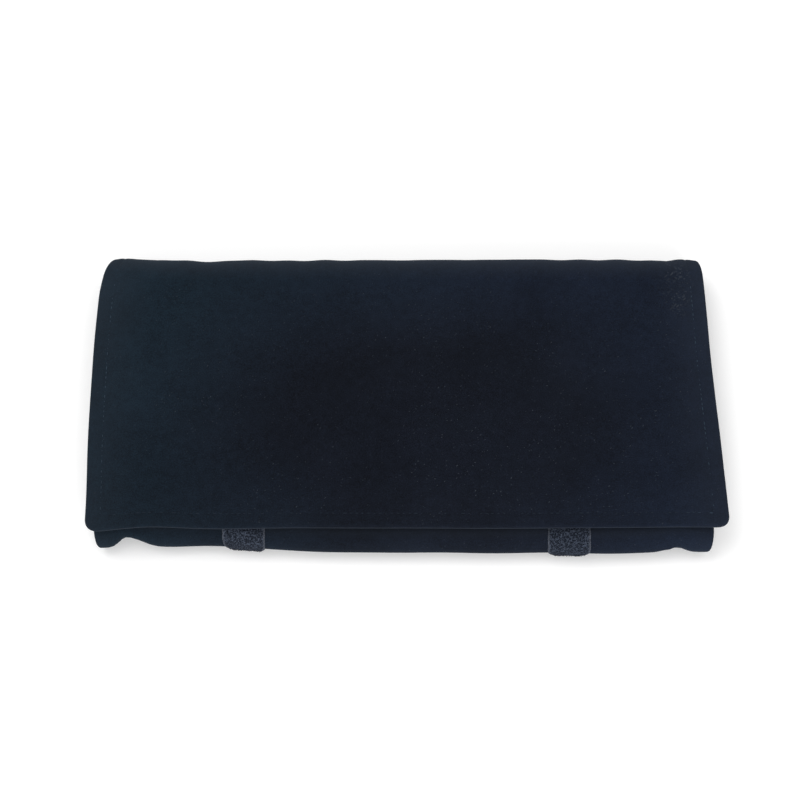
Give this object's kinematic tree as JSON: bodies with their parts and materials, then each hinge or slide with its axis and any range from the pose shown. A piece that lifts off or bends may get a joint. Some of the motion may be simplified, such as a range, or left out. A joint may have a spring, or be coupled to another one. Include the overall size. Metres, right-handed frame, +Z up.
{
  "type": "jewelry roll",
  "caption": "Padded velvet necklace roll, folded flat and closed with hook-and-loop tapes, with press-stud necklace straps and a chain pocket inside.",
  "frame": {"origin": "on the table under the middle of the closed roll", "axes": "+X to the right across the roll, +Y to the back fold, +Z up; the flap's free edge faces -Y"},
  "size_m": [0.296, 0.162, 0.0222],
  "materials": {
    "velvet": "short-pile velvet",
    "lining": "short-pile velvet",
    "foam": "open-cell foam",
    "loop_tape": "brushed loops",
    "hook_tape": "woven hooks",
    "elastic": "woven",
    "steel": "satin"
  },
  "bodies": {
    "base": {"base_cover": "velvet", "base_foam": "foam", "base_lining": "lining", "strap_rail": "lining", "snap_stud_1": "steel", "snap_stud_2": "steel", "snap_stud_3": "steel", "snap_stud_4": "steel", "snap_stud_5": "steel", "snap_stud_6": "steel", "snap_stud_7": "steel", "snap_stud_8": "steel"},
    "back_fold": {"back_fold_cover": "velvet", "back_fold_lining": "lining"},
    "flap": {"flap_cover": "velvet", "flap_foam": "foam", "flap_lining": "lining", "hook_tape_left": "hook_tape", "hook_tape_right": "hook_tape"},
    "front_fold": {"front_fold_cover": "velvet", "front_fold_lining": "lining", "loop_tape_left_front": "loop_tape", "loop_tape_right_front": "loop_tape"},
    "lower_panel": {"lower_cover": "velvet", "lower_foam": "foam", "lower_lining": "lining", "loop_tape_left_top": "loop_tape", "loop_tape_right_top": "loop_tape", "chain_pocket": "lining", "pocket_elastic": "elastic"},
    "strap_1": {"strap_1": "lining", "snap_socket_1": "steel", "snap_cap_1": "steel"},
    "strap_2": {"strap_2": "lining", "snap_socket_2": "steel", "snap_cap_2": "steel"},
    "strap_3": {"strap_3": "lining", "snap_socket_3": "steel", "snap_cap_3": "steel"},
    "strap_4": {"strap_4": "lining", "snap_socket_4": "steel", "snap_cap_4": "steel"},
    "strap_5": {"strap_5": "lining", "snap_socket_5": "steel", "snap_cap_5": "steel"},
    "strap_6": {"strap_6": "lining", "snap_socket_6": "steel", "snap_cap_6": "steel"},
    "strap_7": {"strap_7": "lining", "snap_socket_7": "steel", "snap_cap_7": "steel"},
    "strap_8": {"strap_8": "lining", "snap_socket_8": "steel", "snap_cap_8": "steel"}
  },
  "joints": [
    {"name": "back_fold_hinge", "type": "hinge", "parent": "base", "child": "back_fold", "pos_m": [0, 0.081, 0], "axis": [-1, 0, 0], "range_deg": [0, 90]},
    {"name": "flap_hinge", "type": "hinge", "parent": "back_fold", "child": "flap", "pos_m": [0, 0.081, 0.0222], "axis": [-1, 0, 0], "range_deg": [0, 90]},
    {"name": "front_fold_hinge", "type": "hinge", "parent": "base", "child": "front_fold", "pos_m": [0, -0.081, 0], "axis": [1, 0, 0], "range_deg": [0, 90]},
    {"name": "lower_panel_hinge", "type": "hinge", "parent": "front_fold", "child": "lower_panel", "pos_m": [0, -0.081, 0.0156], "axis": [1, 0, 0], "range_deg": [0, 90]},
    {"name": "strap_1_hinge", "type": "hinge", "parent": "base", "child": "strap_1", "pos_m": [-0.121, 0.0618, 0.0092], "axis": [-1, 0, 0], "range_deg": [0, 110]},
    {"name": "strap_2_hinge", "type": "hinge", "parent": "base", "child": "strap_2", "pos_m": [-0.08643, 0.0618, 0.0092], "axis": [-1, 0, 0], "range_deg": [0, 110]},
    {"name": "strap_3_hinge", "type": "hinge", "parent": "base", "child": "strap_3", "pos_m": [-0.05186, 0.0618, 0.0092], "axis": [-1, 0, 0], "range_deg": [0, 110]},
    {"name": "strap_4_hinge", "type": "hinge", "parent": "base", "child": "strap_4", "pos_m": [-0.01729, 0.0618, 0.0092], "axis": [-1, 0, 0], "range_deg": [0, 110]},
    {"name": "strap_5_hinge", "type": "hinge", "parent": "base", "child": "strap_5", "pos_m": [0.01729, 0.0618, 0.0092], "axis": [-1, 0, 0], "range_deg": [0, 110]},
    {"name": "strap_6_hinge", "type": "hinge", "parent": "base", "child": "strap_6", "pos_m": [0.05186, 0.0618, 0.0092], "axis": [-1, 0, 0], "range_deg": [0, 110]},
    {"name": "strap_7_hinge", "type": "hinge", "parent": "base", "child": "strap_7", "pos_m": [0.08643, 0.0618, 0.0092], "axis": [-1, 0, 0], "range_deg": [0, 110]},
    {"name": "strap_8_hinge", "type": "hinge", "parent": "base", "child": "strap_8", "pos_m": [0.121, 0.0618, 0.0092], "axis": [-1, 0, 0], "range_deg": [0, 110]}
  ],
  "couplings": [
    {"joint": "flap_hinge", "follows": "back_fold_hinge", "ratio": 1},
    {"joint": "front_fold_hinge", "follows": "back_fold_hinge", "ratio": 1},
    {"joint": "lower_panel_hinge", "follows": "back_fold_hinge", "ratio": 1},
    {"joint": "strap_1_hinge", "follows": "back_fold_hinge", "ratio": 1.2222},
    {"joint": "strap_2_hinge", "follows": "back_fold_hinge", "ratio": 1.2222},
    {"joint": "strap_3_hinge", "follows": "back_fold_hinge", "ratio": 1.2222},
    {"joint": "strap_4_hinge", "follows": "back_fold_hinge", "ratio": 1.2222},
    {"joint": "strap_5_hinge", "follows": "back_fold_hinge", "ratio": 1.2222},
    {"joint": "strap_6_hinge", "follows": "back_fold_hinge", "ratio": 1.2222},
    {"joint": "strap_7_hinge", "follows": "back_fold_hinge", "ratio": 1.2222},
    {"joint": "strap_8_hinge", "follows": "back_fold_hinge", "ratio": 1.2222}
  ]
}
